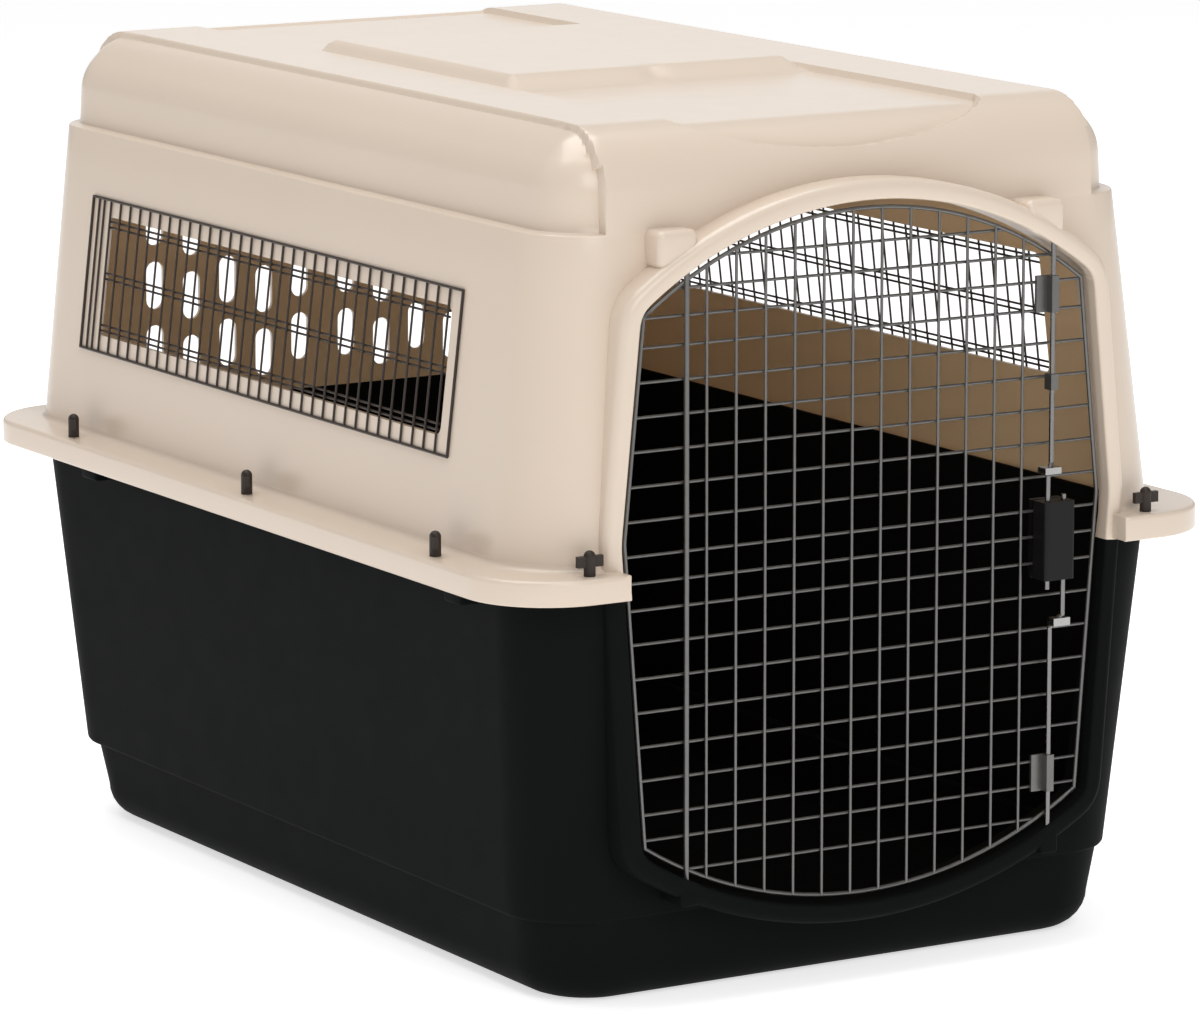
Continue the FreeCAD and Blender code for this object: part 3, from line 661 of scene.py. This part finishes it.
def lower_shell_parts():
    """Outside from floor to flange, then the inside back down, as one run of loops."""
    outside = []
    for turn in np.linspace(0, math.pi / 2, 8):
        outside.append((base_radius * (1 - math.cos(turn)),
                        inset(base_outline, base_radius * (1 - math.sin(turn)))))
    for share in np.linspace(0.2, 0.97, 4):
        outside.append((base_radius + (step_z - base_radius) * share,
                        between(base_outline, neck_outline, share)))
    outside += [(step_z - 0.4, inset(step_outline, 1.6)), (step_z + 1.2, inset(step_outline, 0.3))]
    outside += [(step_z + 2.4 + (flange_z[0] - step_z - 2.4) * share,
                 between(step_outline, lower_top_outline, share)) for share in np.linspace(0, 1, 9)]
    outside += [(parting_z - wall, lower_top_outline),
                (parting_z - wall, inset(flange_outline, wall + 1.2)),
                (parting_z, inset(flange_outline, wall + 1.2)),
                (parting_z, inset(lower_top_outline, wall))]
    inside = [(flange_z[0], inset(lower_top_outline, wall)),
              (step_z + wall, inset(step_outline, wall)),
              (step_z + wall - 1.5, inset(neck_outline, wall)),
              (base_radius, inset(base_outline, wall))]
    inside += [(wall + (base_radius - wall) * (1 - math.cos(turn)),
                inset(base_outline, wall + (base_radius - wall) * (1 - math.sin(turn))))
               for turn in np.linspace(math.pi / 2, 0, 7)[1:]]
    loops = np.array([loop(o, z) for z, o in outside + inside])
    columns = len(column_x)
    return [(loops, grid_faces(len(loops), columns, True), 0)]


lower = mesh_object("lower_shell_moulding", lower_shell_parts())
fill_ends(lower)
lower.data.materials.append(charcoal)
combine(lower, door_cut("sill_cut", False, 12.0, -470, -370), "DIFFERENCE")
combine(lower, rounded_box("flange_gap", (-226, -470, flange_z[0]), (226, -395, 360), 1.0),
        "DIFFERENCE")
sill_rim = mesh_object("sill_rim", rim_parts(False))
fill_ends(sill_rim)
sill_rim.data.materials.append(charcoal)
combine(lower, sill_rim, "UNION")
for rod_x in (hinge_x, latch_x):
    socket = rounded_box("rod_socket", (rod_x - 8, rim_front_y, 76), (rod_x + 8, wall_front_y[0] + 3, 100), 2.5)
    socket.data.materials.append(charcoal)
    combine(lower, socket, "UNION")
for side in (-1, 1):
    for y in (-335.0, 262.0):
        lug = rounded_box("stacking_lug", (side * 296 - 9, y - 13, flange_z[0] - 12),
                          (side * 296 + 9, y + 13, parting_z - 1), 2.0)
        lug.data.materials.append(charcoal)
        combine(lower, lug, "UNION")
combine(lower, door_cut("sill_opening", False, door_gap, -470, -370), "DIFFERENCE")
shade(lower)
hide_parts("lower_shell")
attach(lower, "carrier")

# ---- Wing nuts and bolts ----------------------------------------------------------------------
# Dark moulded nuts that are turned by hand on plain steel bolts; the nut's plastic is a warm
# brown-black with a dull gloss.
nut_brown = moulded_plastic("nut_brown", (0.034, 0.024, 0.019), (0.026, 0.018, 0.015), 0.45, 0.15, 0.0, 0.3)


def steel_wire(name, colour, roughness, metallic):
    """Plated wire: patchy roughness and slight dulling in the plating."""
    material = bpy.data.materials.new(name)
    material.use_nodes = True
    nodes, links = material.node_tree.nodes, material.node_tree.links
    surface = nodes["Principled BSDF"]
    place = nodes.new("ShaderNodeTexCoord")
    dull = nodes.new("ShaderNodeTexNoise")
    dull.inputs["Scale"].default_value = 120.0
    dull.inputs["Detail"].default_value = 4.0
    links.new(place.outputs["Object"], dull.inputs["Vector"])
    tone = nodes.new("ShaderNodeMix")
    tone.data_type = "RGBA"
    tone.inputs["A"].default_value = (*[c * 0.75 for c in colour], 1)
    tone.inputs["B"].default_value = (*colour, 1)
    links.new(dull.outputs["Fac"], tone.inputs["Factor"])
    links.new(tone.outputs["Result"], surface.inputs["Base Color"])
    gloss = nodes.new("ShaderNodeMapRange")
    gloss.inputs["To Min"].default_value = roughness - 0.08
    gloss.inputs["To Max"].default_value = roughness + 0.08
    links.new(dull.outputs["Fac"], gloss.inputs["Value"])
    links.new(gloss.outputs["Result"], surface.inputs["Roughness"])
    surface.inputs["Metallic"].default_value = metallic
    return material


def finish_node(name, material):
    """Gives a carried-over part its material in every slot."""
    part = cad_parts[name]
    part.data.materials.clear()
    part.data.materials.append(material)


bolt_steel = steel_wire("bolt_steel", (0.55, 0.55, 0.54), 0.35, 1.0)
for kind in ("side", "front", "rear"):
    finish_node(kind + "_wing_nuts", nut_brown)
    finish_node(kind + "_bolts", bolt_steel)

# ---- Side window grilles ----------------------------------------------------------------------
# Welded wire panels laid on the outside of the walls, enamelled a dark brown-grey.
window_wire = steel_wire("window_wire_enamel", (0.040, 0.027, 0.021), 0.42, 0.2)
for side_name in ("left", "right"):
    for group in ("frame", "bars", "rails"):
        finish_node(side_name + "_window_" + group, window_wire)

# ---- Door -------------------------------------------------------------------------------------
# Zinc-plated welded mesh inside a heavier outline wire, hung on one long upright rod.
door_steel = steel_wire("door_wire_zinc", (0.185, 0.182, 0.176), 0.36, 0.85)
for part_name in ("door_frame_wire", "door_upright_wires", "door_cross_wires", "hinge_rod",
                  "upper_rod_guides", "lower_rod_guide"):
    finish_node(part_name, door_steel)

# ---- Latch ------------------------------------------------------------------------------------
# Black two-part housing clamped over the mesh, with two bright cranked rods that springs push
# apart and two pressed tabs to squeeze.
latch_black = moulded_plastic("latch_black", (0.007, 0.007, 0.007), (0.005, 0.005, 0.005), 0.45, 0.15, 0.0, 0.2)
rod_steel = steel_wire("latch_rod_steel", (0.24, 0.235, 0.23), 0.26, 1.0)
tab_steel = steel_wire("tab_steel", (0.44, 0.435, 0.43), 0.28, 1.0)
for part_name in ("latch_cover", "latch_back_plate"):
    finish_node(part_name, latch_black)
for part_name in ("upper_latch_rod", "lower_latch_rod"):
    finish_node(part_name, rod_steel)
for part_name in ("latch_screws", "upper_rod_collar", "upper_finger_tab", "lower_rod_collar",
                  "lower_finger_tab"):
    finish_node(part_name, tab_steel)

coil_radius = 3.0
coil_wire = 0.5


def spring_coil(name, low, high):
    """Round wire along a helix from low to high, whose first and last turns lie almost closed.

    The height is the mean of a straight rise and a smooth step, taken over eleven turns. The wire's
    circle is spanned by the outward direction and the one at right angles to it and the wire.
    """
    share = np.linspace(0, 1, 11 * 24 + 1)
    angle = share * 11 * 2 * math.pi
    bottom, top = low[2] + coil_wire, high[2] - coil_wire
    height = bottom + (top - bottom) * (0.35 * share + 0.65 * smooth(share))
    out = np.stack([np.cos(angle), np.sin(angle), 0 * angle], axis=1)
    middle = np.array([(low[0] + high[0]) / 2, (low[1] + high[1]) / 2, 0.0])
    line = middle + coil_radius * out + np.stack([0 * angle, 0 * angle, height], axis=1)
    forward = np.gradient(line, axis=0)
    across_wire = np.cross(forward, out)
    across_wire /= np.linalg.norm(across_wire, axis=1, keepdims=True)
    turn = np.linspace(0, 2 * math.pi, 10, endpoint=False)[None, :, None]
    points = line[:, None] + coil_wire * (out[:, None] * np.cos(turn) + across_wire[:, None] * np.sin(turn))
    made = mesh_object(name, [(points, grid_faces(len(share), 10, True), 0)])
    fill_ends(made)
    made.data.materials.append(tab_steel)
    shade(made)
    return made


for which, fixed_end in (("upper", 0), ("lower", 1)):
    corners = np.array(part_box(which + "_latch_spring")) / MM
    coil = spring_coil(which + "_latch_coil", corners[0], corners[1])
    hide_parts(which + "_latch_spring")
    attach(coil, "door")
    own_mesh(coil)
